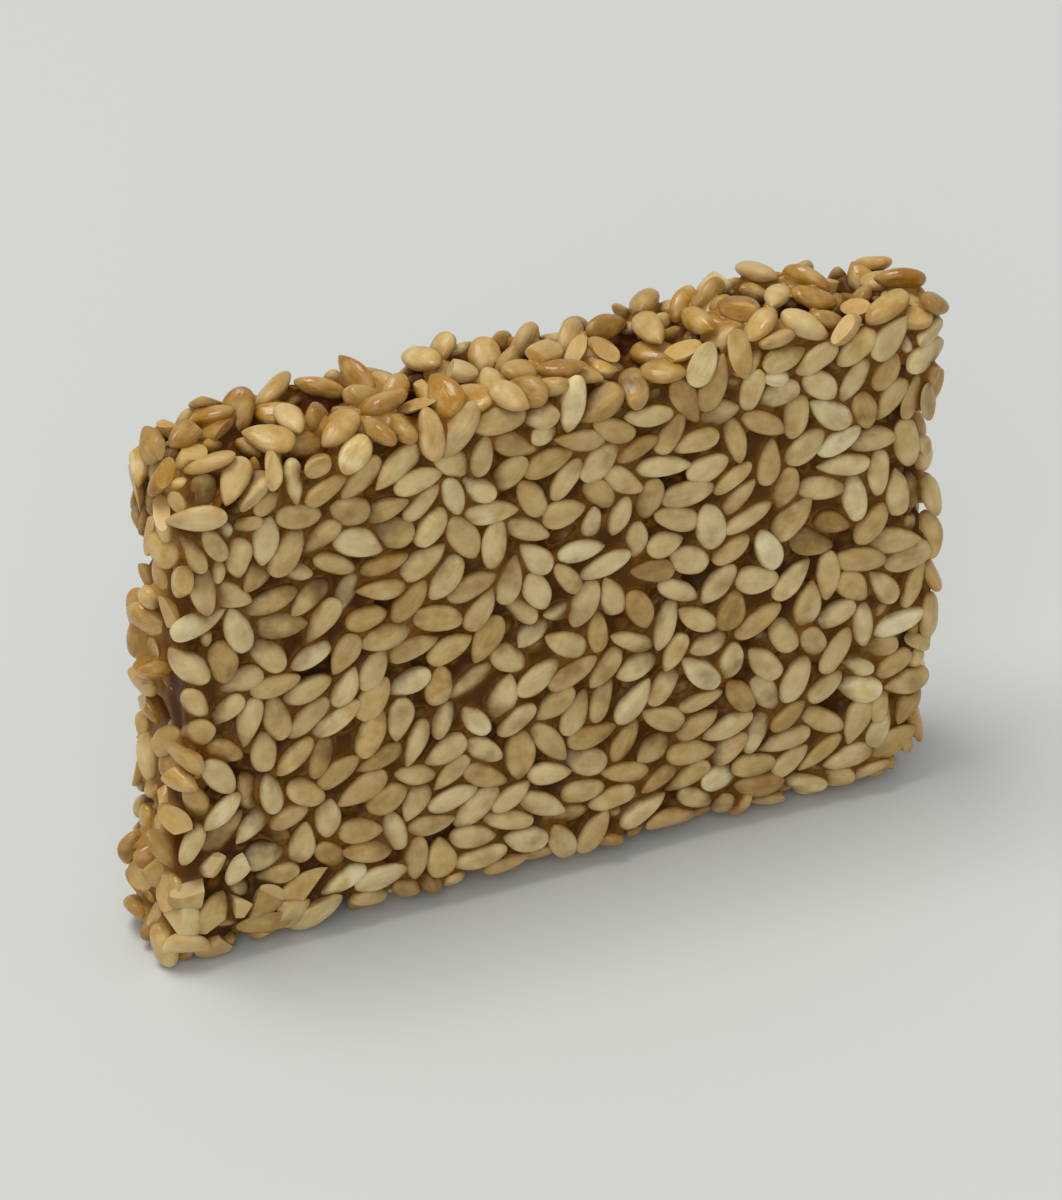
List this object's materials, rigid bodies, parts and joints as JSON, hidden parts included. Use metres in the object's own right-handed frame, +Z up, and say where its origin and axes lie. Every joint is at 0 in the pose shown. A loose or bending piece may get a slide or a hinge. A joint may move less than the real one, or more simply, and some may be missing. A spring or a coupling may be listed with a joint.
{
  "type": "sesame brittle slab",
  "caption": "Knife-cut rectangular slab of toasted sesame seeds set in caramel, standing on a long cut edge; a sweet to eat or display.",
  "frame": {"origin": "middle of the foot, on the surface the slab stands on", "axes": "+X along the slab's length, -Y out of the shown pressed face, +Y through the thickness, +Z up"},
  "size_m": [0.0514, 0.0094, 0.0355],
  "materials": {
    "toasted_sesame": "toasted hulled seeds under a thin set sugar film, satin to glossy",
    "set_caramel": "hard dark caramel between the seeds, glossy and slightly clear where thin"
  },
  "bodies": {
    "root": {"brittle_slab": "toasted_sesame"}
  },
  "joints": []
}
